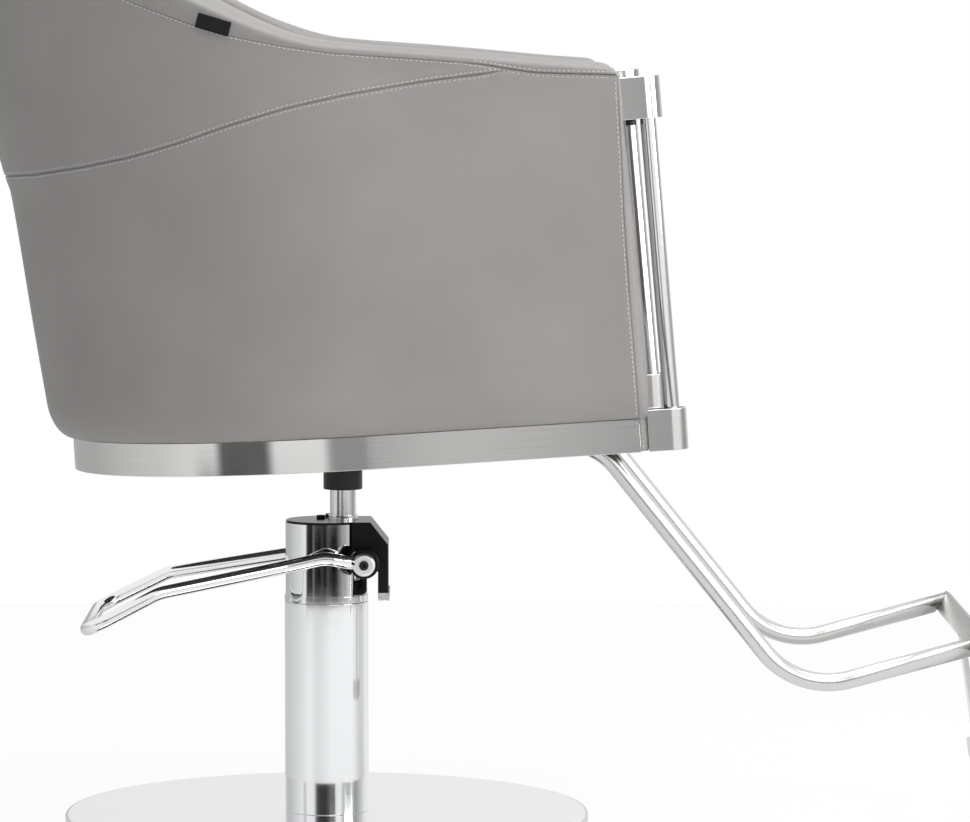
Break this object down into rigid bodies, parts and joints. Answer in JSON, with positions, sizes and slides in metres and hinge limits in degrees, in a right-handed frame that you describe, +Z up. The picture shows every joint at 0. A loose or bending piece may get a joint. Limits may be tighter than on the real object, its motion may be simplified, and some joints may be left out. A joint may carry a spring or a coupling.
{
  "type": "hydraulic hairdressing chair",
  "caption": "Salon styling chair: upholstered tub seat on a hydraulic pump column with round base, pedal, steel arm fronts and tubular footrest.",
  "frame": {"origin": "on the floor at the centre of the round base, under the column's axis", "axes": "+X to the chair's front, +Y to the sitter's left, +Z up; the chair is symmetric about the XZ plane apart from small pump fittings"},
  "size_m": [1.1413, 0.5986, 0.9722],
  "materials": {
    "rubber": "matt black rubber",
    "raw_steel": "dull oiled steel",
    "mirror_steel": "mirror polished",
    "zinc_steel": "zinc plated",
    "cast_iron": "black painted casting",
    "chrome": "polished chrome",
    "black_metal": "gloss black paint",
    "clear_trim": "pale soft plastic edge trim",
    "brass": "oiled bronze",
    "black_plastic": "satin black",
    "plywood": "bare plywood",
    "brushed_steel": "brushed along its length",
    "grey_leather": "smooth grey faux leather",
    "padding": "foam under smooth grey faux leather",
    "black_fabric": "woven black ribbon"
  },
  "bodies": {
    "base": {"floor_pad": "rubber", "base_weight": "raw_steel", "base_cover": "mirror_steel", "base_bolts": "zinc_steel", "pump_foot": "cast_iron", "column_cover": "chrome", "reservoir_tube": "raw_steel", "pressure_cylinder": "raw_steel", "pump_head": "chrome", "rod_gland": "zinc_steel", "rod_seal": "rubber", "pump_hood": "black_metal", "hood_screws": "black_metal", "hood_trim": "clear_trim", "shaft_bushes": "brass", "plunger_spring": "zinc_steel"},
    "plunger_body": {"plunger": "zinc_steel"},
    "pedal": {"pedal_shaft": "zinc_steel", "pump_arm": "cast_iron", "pedal_hubs": "black_metal", "pedal_eyes": "chrome", "pedal_bolts": "zinc_steel", "pedal_rod": "chrome"},
    "piston": {"piston_head": "raw_steel", "piston_seal": "rubber", "thrust_ring": "brass"},
    "seat": {"piston_rod": "chrome", "seat_hub": "black_plastic", "seat_plate": "black_metal", "seat_plate_bolts": "zinc_steel", "seat_board": "plywood", "seat_band": "brushed_steel", "shell_core": "plywood", "arm_posts": "plywood", "outer_cover": "grey_leather", "inner_padding": "padding", "arm_facings": "grey_leather", "seat_cushion": "padding", "front_apron": "grey_leather", "side_tag": "black_fabric", "upper_bracket_left": "brushed_steel", "upper_bracket_right": "brushed_steel", "lower_bracket_left": "brushed_steel", "lower_bracket_right": "brushed_steel", "bracket_blocks": "black_plastic", "bracket_bolts": "zinc_steel", "bracket_screws": "black_metal", "arm_tube_left": "chrome", "arm_tube_right": "chrome", "footrest_tube_left": "brushed_steel", "footrest_tube_right": "brushed_steel", "footrest_clamps": "zinc_steel", "clamp_bolts": "zinc_steel", "footrest_bar": "brushed_steel", "footrest_strap": "brushed_steel", "footrest_tread": "brushed_steel"}
  },
  "joints": [
    {"name": "seat_lift", "type": "slide", "parent": "base", "child": "piston", "axis": [0, 0, 1], "range_m": [0, 0.15]},
    {"name": "seat_swivel", "type": "hinge", "parent": "piston", "child": "seat", "pos_m": [0.018, 0, 0.4], "axis": [0, 0, 1], "continuous": true},
    {"name": "pedal_press", "type": "hinge", "parent": "base", "child": "pedal", "pos_m": [0.0415, 0, 0.288], "axis": [0, -1, 0], "range_deg": [0, 25], "stiffness_Nm_per_rad": 4, "springref_deg": -22.92},
    {"name": "plunger_stroke", "type": "slide", "parent": "base", "child": "plunger_body", "axis": [0, 0, -1], "range_m": [0, 0.0055], "deforming": ["plunger_spring"]}
  ],
  "couplings": [
    {"joint": "plunger_stroke", "follows": "pedal_press", "m_per_rad": 0.0116}
  ]
}
